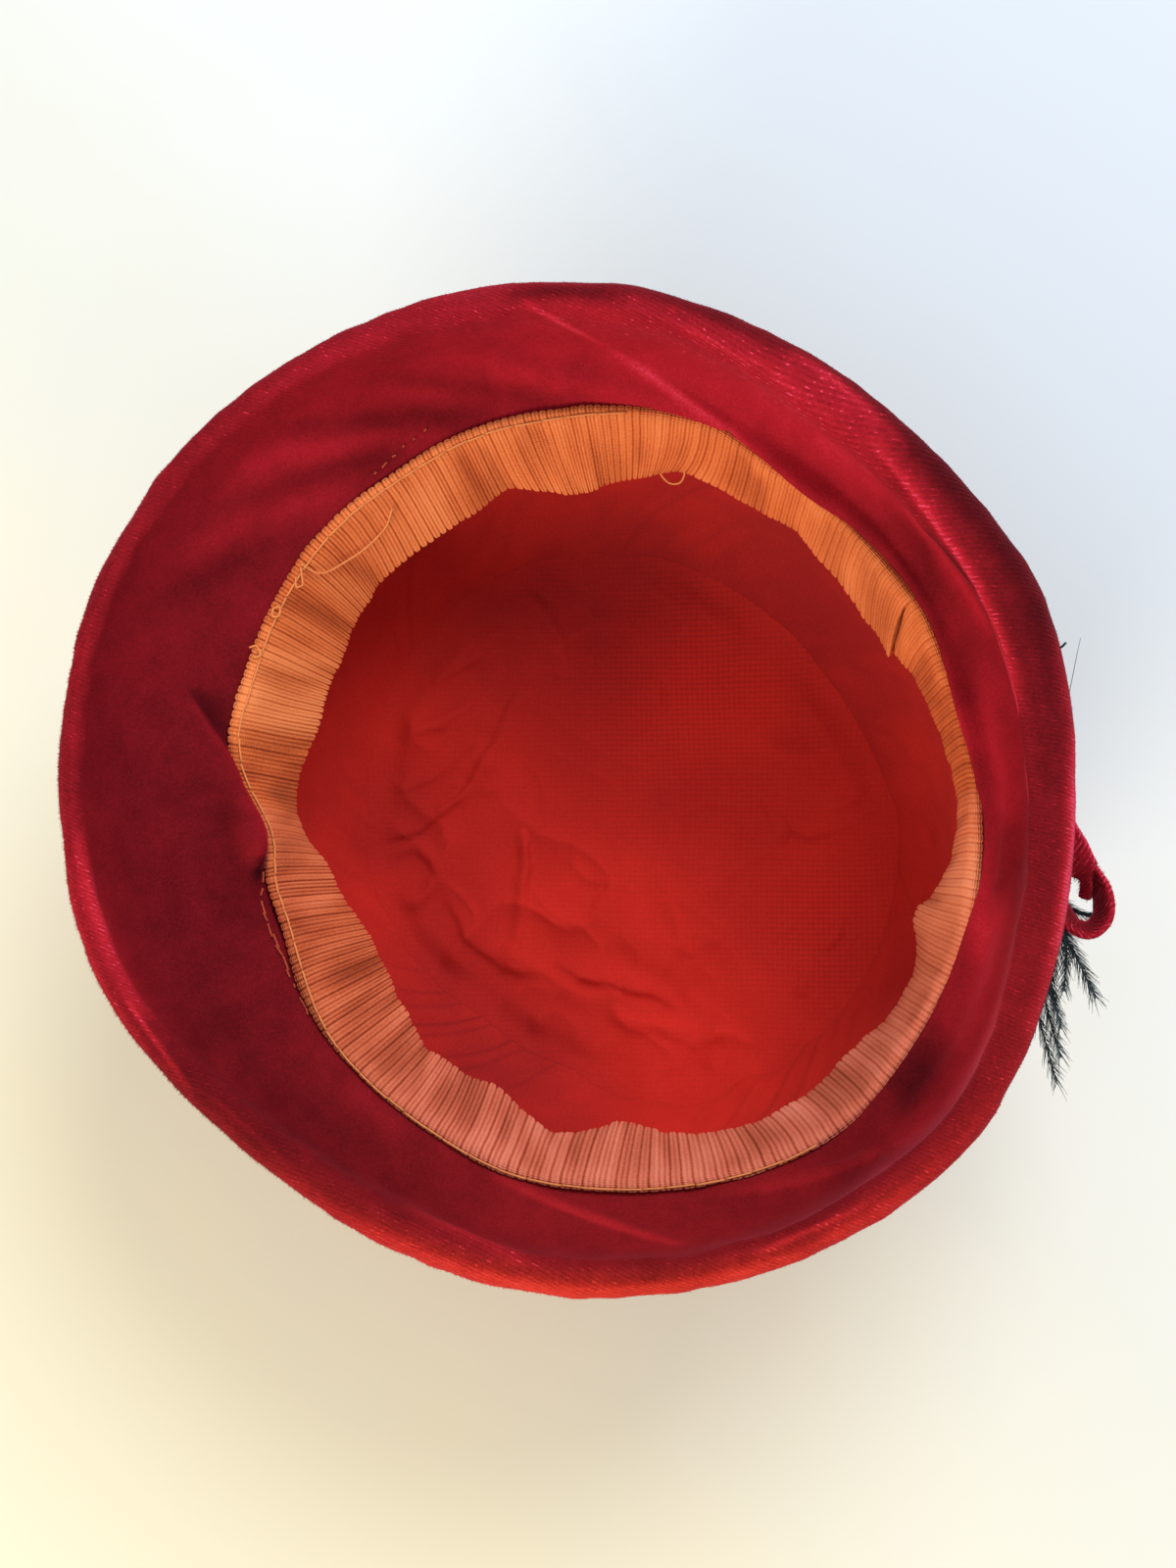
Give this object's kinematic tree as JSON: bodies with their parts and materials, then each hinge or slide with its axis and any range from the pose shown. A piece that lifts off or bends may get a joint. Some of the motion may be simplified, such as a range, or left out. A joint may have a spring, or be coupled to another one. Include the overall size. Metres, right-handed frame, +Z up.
{
  "type": "velvet tilt hat",
  "caption": "Small velvet hat with an upturned rolled brim, ribbed inner sweatband, thin lining and a strip-and-feather trim, lying crown-down with its opening up.",
  "frame": {"origin": "centre of the flat crown tip on which the hat lies, at the surface below it", "axes": "+Z up out of the head opening, +X towards the trimmed side, +Y across; the brim is widest towards -X"},
  "size_m": [0.2388, 0.2257, 0.1087],
  "materials": {
    "velvet": "crimson cotton velvet with a short crushed pile",
    "petersham": "orange ribbed petersham ribbon, matte",
    "lining": "bright red thin open-weave cotton",
    "feather": "dark teal stripped feather, slightly glossy"
  },
  "bodies": {
    "root": {"crown": "velvet", "brim": "velvet", "sweatband": "petersham", "lining_side": "lining", "lining_tip": "lining", "bow_knot": "velvet", "bow_loop": "velvet", "bow_tail": "velvet", "feather_spray": "feather"}
  },
  "joints": []
}
